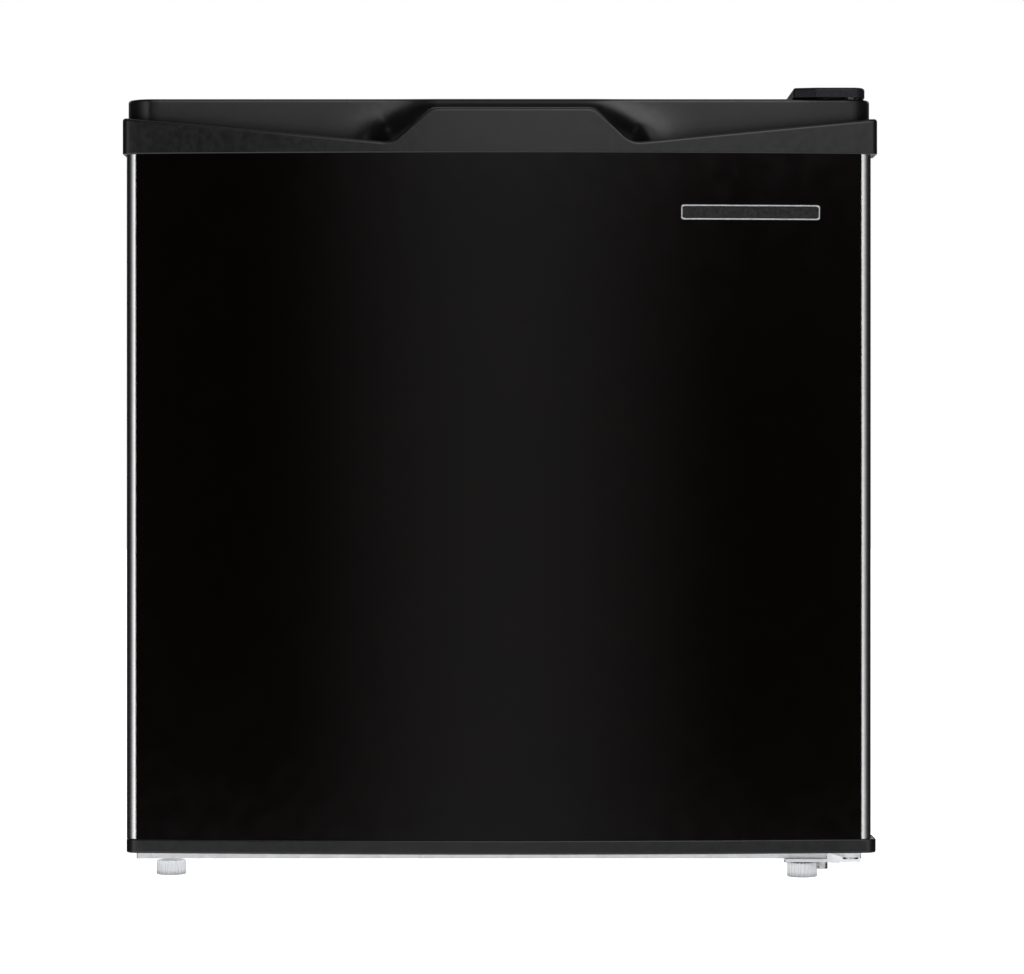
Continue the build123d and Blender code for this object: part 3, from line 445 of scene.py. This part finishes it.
# bright corner beads
for sign, node in ((-1, "door_edge_left"), (1, "door_edge_right")):
    (cx, cy), (mx, my) = corner_centre(half, 0.0, CORNER)
    tilt = math.degrees(math.atan2(my - cy, mx - cx))
    line = [(bead_start, bowed(bead_start) + TURN_IN), (bead_start, bowed(bead_start))]
    line += arc((cx, cy), CORNER, tilt, 0, 28)
    line += [(half, bead_back), (half - TURN_IN, bead_back)]
    rows = [[(sign * x, y, z) for x, y in line] for z in heights]
    piece(node + "_bead", *loft(rows), "door", "bright_trim", [node], angle=28)

# lower trim
trim_low, trim_high = span("door_bottom_cap")
trim_line = door_line(PROUD, trim_low[0], trim_high[0], CORNER, np.linspace(-226, 226, 121))
TRIM_GAP, UPPER_ROUND, LOWER_ROUND = 0.12, 0.7, 0.9
flat_top = trim_high[2] - TRIM_GAP - UPPER_ROUND
flat_foot = trim_low[2] + LOWER_ROUND
profile = [(5.0, trim_high[2] - TRIM_GAP)]
profile += [(UPPER_ROUND - x, flat_top + y) for x, y in arc((0, 0), UPPER_ROUND, 90, 0, 4)]
profile += [(0.0, flat_top - FLAT_STEP), (0.0, flat_foot + FLAT_STEP)]
profile += [(LOWER_ROUND - x, flat_foot - y) for x, y in arc((0, 0), LOWER_ROUND, 0, 90, 5)]
rows = ribbon(trim_line, profile)
piece("lower_trim", *loft(rows, wrap_columns=True, cap_first=True, cap_last=True), "door", "satin_black",
      ["door_bottom_cap"])

# upper cap: a bowed band whose top edge dips into two finger scoops, and a block behind it
cap_low, cap_high = span("door_top_cap")
cap_top = cap_high[2]
SCOOP_BACK = -204.0
BLOCK_HALF = half + 0.6
BLOCK_CORNER = 16.0
LIP = [(-240, 475.4), (-65.5, 458.85), (-41.2, 480.2), (58.7, 480.2), (81.9, 458.85), (240, 474.9)]
LIP_RADII = [15.0, 9.0, 9.0, 15.0]
LIP_WALL = 4.5
LIP_EDGE = 1.7
POCKETS = ((-196.0, -62.0), (78.0, 196.0))
POCKET_CORNER = 6.0
POCKET_ROUND = 1.2
FOOT_ROUND = 0.6
SIDE_LIP = 7.0
FLOOR = 440.0
COVE = 11.5
COVE_SLOPE = 1.55
COVE_EASE = 7.0
COVE_FADE = (450.0, 489.0)
COVE_LOST = 0.85
LIP_SKIN = 3.0
CROWN = (-66.0, 82.0)
lip_line = eased(LIP, LIP_RADII, 14)
lip_x, lip_z = zip(*lip_line)


def lip_height(x):
    return float(np.interp(x, lip_x, lip_z))


def smooth_step(low, high, value):
    t = min(1.0, max(0.0, (value - low) / (high - low)))
    return t * t * (3 - 2 * t)


# The coves follow the lip from one scoop's end over the crown to the other's.
cove_line = np.array([(x, z) for x, z in lip_line if CROWN[0] <= x <= CROWN[1]])


def segment_distance(point, line):
    a, b = line[:-1], line[1:]
    d = b - a
    t = np.clip(((point - a) * d).sum(1) / np.maximum((d * d).sum(1), 1e-9), 0, 1)
    return float(np.sqrt((((a + d * t[:, None]) - point) ** 2).sum(1)).min())


def back_wall(x, z):
    """y of the wall behind the lip: plain, and coved where a scoop ends, less so towards the cap's top."""
    if z <= 458.0 and not any(low <= x <= high for low, high in POCKETS):
        return SCOOP_BACK
    left = COVE - segment_distance(np.array((x, z)), cove_line)
    reach = COVE_SLOPE / 2 * (left + math.sqrt(left**2 + COVE_EASE**2)) - 0.6
    wall = SCOOP_BACK - max(0.0, reach) * (1 - COVE_LOST * smooth_step(*COVE_FADE, z))
    return max(wall, bowed(x, PROUD) + LIP_SKIN)


def columns():
    xs = set(np.round(np.linspace(-226, 228, 115), 3))
    xs |= set(np.round(np.arange(-92, -30, 0.8), 3)) | set(np.round(np.arange(48, 110, 0.8), 3))
    for low, high in POCKETS:
        for end, sign in ((low, 1), (high, -1)):
            xs |= {round(end + sign * d, 3) for d in (0.0, 0.25, 0.8, 1.6, 2.6, 3.8, 5.0, 6.0)}
            xs.add(round(end - sign * 0.01, 3))
    return sorted(xs)


def lip_back(x, y_front):
    """y where the lip's flat top ends: at the lip's wall over a pocket, under the rear block elsewhere."""
    for low, high in POCKETS:
        if low <= x <= high:
            from_end = min(x - low, high - x)
            if from_end < POCKET_CORNER:
                gain = POCKET_CORNER - math.sqrt(POCKET_CORNER**2 - (POCKET_CORNER - from_end) ** 2)
            else:
                gain = 0.0
            return y_front + LIP_WALL + gain
    return SCOOP_BACK + 0.5


band_line = door_line(PROUD, cap_low[0], cap_high[0], BAND_CORNER, columns(), 12)
band = []
foot_z = z_high + 0.1
for station in band_line:
    x, y, nx, ny = station
    top = lip_height(x)
    column = [(*inset(station, 4.0), foot_z)]
    column += [(*inset(station, FOOT_ROUND - dx), foot_z + FOOT_ROUND - dz)
               for dx, dz in arc((0, 0), FOOT_ROUND, 90, 0, 3)]
    face_levels = (foot_z + FOOT_ROUND + FLAT_STEP, (foot_z + top) / 2, top - LIP_EDGE - FLAT_STEP)
    column += [(x, y, z) for z in face_levels]
    column += [(*inset(station, LIP_EDGE - dx), top - LIP_EDGE + dz)
               for dx, dz in arc((0, 0), LIP_EDGE, 0, 90, 6)]
    if abs(nx) < 0.25:
        end = lip_back(x, y)
        column += [(x, end - POCKET_ROUND + dy, top - POCKET_ROUND + dz)
                   for dy, dz in arc((0, 0), POCKET_ROUND, 90, 0, 4)]
        column.append((x, end, FLOOR))
    else:
        inner = inset(station, SIDE_LIP)
        column += [(*inner, top)] * 5 + [(*inner, top - 6)]
    band.append(column)
first, last = [[(x * BAND_CLOSE, y, z) for x, y, z in band[i]] for i in (0, -1)]
band_mesh = loft([first, *band, last])

block_front = [x for x in columns() if abs(x) <= BLOCK_HALF - BLOCK_CORNER]


def block_corner(sign, start, end):
    """A rounded front corner of the block behind the scoops, with its outward directions."""
    x, y = sign * (BLOCK_HALF - BLOCK_CORNER), SCOOP_BACK + BLOCK_CORNER
    return [(x + BLOCK_CORNER * dx, y + BLOCK_CORNER * dy, dx, dy)
            for dx, dy in arc((0, 0), 1.0, start, end, 9)]


block_line = [(-BLOCK_HALF, casing_back, -1.0, 0.0), *block_corner(-1, 180, 270)]
block_line += [(x, None, 0.0, -1.0) for x in block_front[1:-1]]
block_line += [*block_corner(1, 270, 360), (BLOCK_HALF, casing_back, 1.0, 0.0)]
ROUND = 1.4
levels = [(0.0, z) for z in np.linspace(FLOOR - 0.5, cap_top - ROUND, 52)]
levels += [(ROUND - ROUND * math.cos(t), cap_top - ROUND + ROUND * math.sin(t))
           for t in np.linspace(0.3, math.pi / 2, 5)]
block_rows = []
for depth, z in levels:
    row = []
    for x, y, nx, ny in block_line:
        wall = back_wall(x, z) if y is None else y
        row.append((x - nx * depth, wall - ny * depth, z - 0.03))
    block_rows.append(row)
block_mesh = loft(block_rows, wrap_columns=True, cap_last=True)

floors = []
for low, high in POCKETS:
    xs = [x for x in columns() if low <= x <= high]
    edge = [(x, lip_back(x, bowed(x, PROUD)) - 0.3, FLOOR) for x in xs]
    far = [(x, max(back_wall(x, FLOOR) + 0.3, near[1] + 0.01), FLOOR) for x, near in zip(xs, edge)]
    floors.append(loft([edge, far]))
piece("upper_cap", *joined(band_mesh, block_mesh, *floors), "door", "satin_black", ["door_top_cap"], angle=38)

# name badge: a raised rim round a blank face, both following the bow
badge_low, badge_high = span("nameplate")
badge_x, badge_z = (badge_low[0], badge_high[0]), (badge_low[2], badge_high[2])


def on_bow(outline, proud):
    return [(x, bowed(x, proud), z) for x, z in outline]


def badge_outline():
    """The badge's outline in x and z, with its long sides cut into steps that can follow the bow."""
    corners = rectangle((badge_x[0], badge_z[0]), (badge_x[1], badge_z[1]), 1.6, 4)
    line = []
    for here, there in zip(corners, corners[1:] + corners[:1]):
        steps = max(1, int(abs(there[0] - here[0]) / 4))
        line += [(here[0] + (there[0] - here[0]) * i / steps, here[1] + (there[1] - here[1]) * i / steps)
                 for i in range(steps)]
    return line


badge_line = badge_outline()
middle = ((badge_x[0] + badge_x[1]) / 2, (badge_z[0] + badge_z[1]) / 2)


def shrunk(outline, depth):
    """The badge's outline moved inwards by depth, point for point."""
    across = 1 - depth / ((badge_x[1] - badge_x[0]) / 2)
    up = 1 - depth / ((badge_z[1] - badge_z[0]) / 2)
    return [(middle[0] + (x - middle[0]) * across, middle[1] + (z - middle[1]) * up) for x, z in outline]


rim_levels = [(0.0, 0.0), (0.0, 0.42), (0.15, 0.58), (0.75, 0.58), (0.9, 0.42), (0.95, 0.2)]
rim_rows = [on_bow(shrunk(badge_line, depth), proud) for depth, proud in rim_levels]
piece("badge_rim", *loft(rim_rows, wrap_columns=True), "door", "nameplate", ["nameplate"],
      material=looks["satin_silver"])
FACE_EDGE, FACE_PROUD = 0.8, 0.3
face_rows = [[(x, bowed(x, FACE_PROUD), z)
              for x in np.linspace(badge_x[0] + FACE_EDGE, badge_x[1] - FACE_EDGE, 40)]
             for z in (badge_z[0] + FACE_EDGE, badge_z[1] - FACE_EDGE)]
piece("badge_face", *loft(face_rows), "door", "nameplate")

# ------------------------------------------------------------------ the cabinet's skin

shell_low, shell_high = span("cabinet_shell")
FOLD = 1.4
EDGE = 2.0
MOUTH_HALF, MOUTH_LOW, MOUTH_HIGH = 197.0, 46.0, 449.0
SHEET = 0.6
side_heights = (shell_low[2], MOUTH_LOW - 0.01, MOUTH_LOW, 150.0, 300.0, MOUTH_HIGH)
shell_line = [(shell_low[0], z) for z in side_heights]
shell_line += arc((shell_low[0] + EDGE, shell_high[2] - EDGE), EDGE, 180, 90, 8)
shell_line += [(-x, z) for x, z in reversed(shell_line)]


def shell_row(depth, y):
    row = []
    for x, z in shell_line:
        above = (z - shell_high[2]) / EDGE + 1
        nx = math.copysign(1, x) if above <= 0 else (x - math.copysign(shell_high[0] - EDGE, x)) / EDGE
        nz = max(0.0, above)
        row.append((x - nx * depth, y, z - nz * depth))
    return row


rows = [shell_row(0.7, shell_high[1]), shell_row(0.0, shell_high[1])]
rows += [shell_row(0.0, y) for y in np.linspace(shell_high[1], shell_low[1] + FOLD, 8)[1:]]
rows += [shell_row(FOLD - FOLD * math.cos(t), shell_low[1] + FOLD - FOLD * math.sin(t))
         for t in np.linspace(0.25, math.pi / 2, 5)]


def mouth_edge(x, z):
    """Where the front flange ends: at the door opening, or below it at the side sheet's own thickness."""
    if z < MOUTH_LOW:
        return math.copysign(shell_high[0] - SHEET, x), shell_low[1] + SHEET, z
    return max(-MOUTH_HALF, min(MOUTH_HALF, x)), shell_low[1], min(MOUTH_HIGH, z)


rows.append([mouth_edge(x, z) for x, y, z in rows[-1]])
piece("cabinet_wrap", *loft(rows), "cabinet", "cabinet_paint", ["cabinet_shell"], angle=30)

# the liner's rim, which clips over the flange's edge
RIM = ((191.6, 47.4, 446.6), (MOUTH_HALF + 0.3, MOUTH_LOW - 0.3, MOUTH_HIGH + 0.3))


def frame_row(grow, y):
    """A rounded rectangle between the rim's inner and outer edges: grow 0 is the inner, 1 the outer."""
    half_width, low, high = (a + (b - a) * grow for a, b in zip(*RIM))
    return [(x, y, z) for x, z in rectangle((-half_width, low), (half_width, high), 8.0 - 4.0 * grow, 7)]


rim_front = shell_low[1] + 0.15
rim_rows = [frame_row(grow, rim_front + back) for grow, back in
            ((0.0, 1.6), (0.0, 0.5), (0.12, 0.1), (0.25, 0.0), (0.85, 0.0), (1.0, 0.4))]
piece("liner_rim", *loft(rim_rows, wrap_columns=True), "cabinet", "white_liner")

# ------------------------------------------------------------------ the door's inside


def upright(half_width, low, high, radius, y):
    """A rounded rectangle in the plane of the door."""
    return [(x, y, z) for x, z in rectangle((-half_width, low), (half_width, high), radius, 7)]


plate_low, plate_high = span("door_liner")
plate_y = span("door_gasket")[0][1]
dyke_y = plate_high[1]
PLATE_CORNER, PLATE_ROUND = 6.0, 0.4
plate_size = (plate_high[0], plate_low[2], plate_high[2])
rounded_size = (plate_size[0] - PLATE_ROUND, plate_size[1] + PLATE_ROUND, plate_size[2] - PLATE_ROUND)
rows = [upright(*plate_size, PLATE_CORNER, casing_back + 0.05),
        upright(*plate_size, PLATE_CORNER, plate_y - PLATE_ROUND),
        upright(*rounded_size, PLATE_CORNER - PLATE_ROUND, plate_y)]
DYKE_OUTER, DYKE_INNER = (184.0, 62.0, 440.0), (160.0, 76.0, 414.0)
DYKE_CORNER = 9.0


def grown(size, out, y):
    """A (half width, low z, high z) outline of the ridge, moved outwards."""
    return upright(size[0] + out, size[1] - out, size[2] + out, DYKE_CORNER + out, y)


rise = eased([(6.0, plate_y), (0.6, plate_y), (-1.2, dyke_y), (-14.0, dyke_y)], [3.2, 4.0], 5)
rows += [grown(DYKE_OUTER, out, y) for out, y in rise[:-1]]
fall = eased([(14.0, dyke_y), (1.2, dyke_y), (-0.6, plate_y), (-8.0, plate_y)], [4.0, 3.2], 5)
rows += [grown(DYKE_INNER, out, y) for out, y in fall[1:]]
rib_outline = rectangle((155.0, 221.0), (161.0, 225.0), 1.4, 3)
rib_sections = ((-172.0, 0.0), (-160.8, 0.6), (-160.0, 0.6))
ribs = []
for sign in (-1, 1):
    rib_rows = [[(sign * (x + out), y, z) for x, z in rib_outline] for y, out in rib_sections]
    ribs.append(loft(rib_rows, wrap_columns=True, cap_first=True, cap_last=True))
piece("door_inner_skin", *joined(loft(rows, wrap_columns=True, cap_last=True), *ribs), "door", "white_liner",
      ["door_liner"], angle=40)

# the door's foam: its core, up to the finger pockets, and the ridge inside the inner skin
COVER = 2.4
core_line = door_line(0.0, -half, half, CORNER, np.linspace(-220, 220, 61))
core_rows = ribbon(core_line, [(COVER, z_low + 1.5), (COVER, FLOOR - 4)])
core_rows = [[(x, min(y, casing_back - COVER), z) for x, y, z in row] for row in core_rows]
core = loft(core_rows, wrap_columns=True, cap_first=True, cap_last=True)
ridge_rows = [grown(DYKE_OUTER, -COVER, y) for y in (casing_back - COVER, dyke_y - COVER)]
ridge_rows += [grown(DYKE_INNER, COVER, y) for y in (dyke_y - COVER, casing_back - COVER)]
ridge = loft(ridge_rows, wrap_columns=True, wrap_rows=True)
piece("door_foam_core", *joined(core, ridge), "door", "foam", ["door_foam"])

# magnetic seal: a bellows with a flat face
seal_low, seal_high = span("door_gasket")
SEAL = [(1.6, 0.0), (1.0, 1.4), (2.7, 2.7), (2.3, 4.4), (0.7, 5.4), (0.0, 6.8), (0.0, 10.4), (0.9, 11.8),
        (2.0, 12.0), (10.0, 12.0), (11.1, 11.8), (12.0, 10.4), (12.0, 6.8), (11.3, 5.4), (9.7, 4.4),
        (9.3, 2.7), (11.0, 1.4), (10.4, 0.0)]
SEAL_RADII = [0.45, 0.6, 0.6, 0.6, 0.6, 1.2, 0.6, 0.35]
seal_line = eased(SEAL, SEAL_RADII + SEAL_RADII[::-1], 2)
rows = [upright(seal_high[0] - depth, seal_low[2] + depth, seal_high[2] - depth, max(13.5 - depth, 1.0),
                seal_low[1] + up) for depth, up in seal_line]
piece("seal", *loft(rows, wrap_columns=True), "door", "seal_grey", ["door_gasket"], angle=45)

for node, width in (
    ("door_rack_lower", 0.7), ("door_rack_upper", 0.7), ("drip_tray", 0.6), ("freezer_frame", 1.2),
    ("freezer_flap", 0.5), ("evaporator_box", 0.5), ("tray_rails", 0.4), ("evaporator_clips", 0.5),
    ("thermostat_housing", 0.5), ("condenser_clips", 0.4),
):
    soften(node, width)

# ------------------------------------------------------------------ studio


def studio():
    scene = bpy.context.scene
    scene.view_settings.view_transform = "Standard"
    scene.view_settings.look = "None"

    data = bpy.data.cameras.new("camera")
    data.lens = 137.3
    data.sensor_width = 36.0
    data.clip_end = 60.0
    camera = bpy.data.objects.new("camera", data)
    camera.location = (0.0082, -2.625, 0.2467)
    camera.rotation_euler = (math.radians(90), 0, 0)
    scene.collection.objects.link(camera)
    scene.camera = camera

    # The room's light by direction: turn is degrees round from the front, rise is degrees above the horizon.
    world = bpy.data.worlds.new("studio")
    world.use_nodes = True
    scene.world = world
    g = Graph(world.node_tree)
    way = g.add("ShaderNodeSeparateXYZ", {"Vector": g.add("ShaderNodeTexCoord").outputs["Generated"]}).outputs
    turn = g.sum("DEGREES", g.sum("ARCTAN2", way["X"], g.sum("MULTIPLY", way["Y"], -1.0)))
    rise = g.sum("DEGREES", g.sum("ARCSINE", way["Z"]))
    off = g.sum("ABSOLUTE", turn)
    steep = g.sum("ABSOLUTE", rise)

    def product(*values):
        total = values[0]
        for value in values[1:]:
            total = g.sum("MULTIPLY", total, value)
        return total

    def bank(sign, centre, width, power, inner):
        """A tall softbox whose light falls off round the room."""
        signed = g.sum("MULTIPLY", turn, float(sign))
        fall = g.sum("DIVIDE", g.sum("SUBTRACT", signed, centre), width)
        fall = g.sum("EXPONENT", g.sum("MULTIPLY", g.sum("POWER", g.sum("ABSOLUTE", fall), 2.0), -1.0))
        return product(fall, g.ramp(signed, *inner), power)

    # The glossy panel mirrors only a level slot round the camera, dark but for a soft glow in its middle.
    above = g.ramp(rise, 5.5, 8.5)
    below = g.ramp(g.sum("MULTIPLY", rise, -1.0), 5.5, 8.5)
    glow = product(g.ramp(off, 0.5, 11.5, 1.0, 0.0), 0.20)
    banks = g.sum("ADD", bank(1, 12.0, 37.0, 1.05, (18.0, 24.0)), bank(-1, 22.0, 30.0, 1.15, (18.0, 25.0)))
    banks = product(banks, g.ramp(steep, 8.0, 24.0, 1.0, 0.0))
    rear = product(g.ramp(off, 125.0, 150.0), g.sum("ADD", above, below), g.ramp(steep, 40.0, 70.0, 1.0, 0.0),
                   0.75)
    window = g.ramp(off, 40.0, 75.0, 1.0, 0.0)
    high = product(window, above, g.ramp(turn, -12.0, -1.0, 0.03, 2.4), g.ramp(turn, 13.0, 26.0, 1.0, 0.45),
                   g.ramp(rise, 32.0, 55.0, 1.0, 0.05))
    low = product(window, below, g.ramp(turn, -20.0, 20.0, 1.45, 1.05))
    sides = product(g.ramp(off, 60.0, 85.0), g.ramp(off, 105.0, 130.0, 1.0, 0.0),
                    g.ramp(g.sum("MULTIPLY", rise, -1.0), 9.0, 20.0), 0.8)
    overhead = product(g.ramp(rise, 66.0, 84.0), 0.6)
    front = g.sum("MAXIMUM", g.sum("ADD", banks, glow), g.sum("ADD", high, low))
    light = g.sum("ADD", g.sum("ADD", front, rear), g.sum("ADD", g.sum("ADD", sides, overhead), 0.012))
    shade = world.node_tree.nodes["Background"]
    g.feed(shade.inputs["Color"], (1.0, 1.0, 1.0, 1.0))
    g.feed(shade.inputs["Strength"], light)

    def backdrop(name, mesh, glow_level, albedo):
        material = bpy.data.materials.new(name)
        material.use_nodes = True
        base = material.node_tree.nodes["Principled BSDF"]
        base.inputs["Base Color"].default_value = (albedo, albedo, albedo, 1)
        base.inputs["Roughness"].default_value = 0.9
        base.inputs["Specular IOR Level"].default_value = 0.0
        base.inputs["Emission Color"].default_value = (1, 1, 1, 1)
        base.inputs["Emission Strength"].default_value = glow_level
        mesh.materials.append(material)
        obj = bpy.data.objects.new(name, mesh)
        scene.collection.objects.link(obj)
        obj.visible_glossy = False
        return obj

    floor = bpy.data.meshes.new("floor")
    angles = np.linspace(0, 2 * math.pi, 96, endpoint=False)
    circle = [(14 * math.cos(t), 14 * math.sin(t), -0.0003) for t in angles]
    floor.from_pydata(circle, [], [tuple(range(96))])
    backdrop("floor", floor, 1.3, 0.25)

    dome = bpy.data.meshes.new("dome")
    work = bmesh.new()
    bmesh.ops.create_icosphere(work, subdivisions=4, radius=13.0)
    work.to_mesh(dome)
    work.free()
    sky = backdrop("dome", dome, 1.0, 0.0)
    sky.visible_diffuse = False
    sky.visible_shadow = False
    sky.visible_volume_scatter = False


studio()
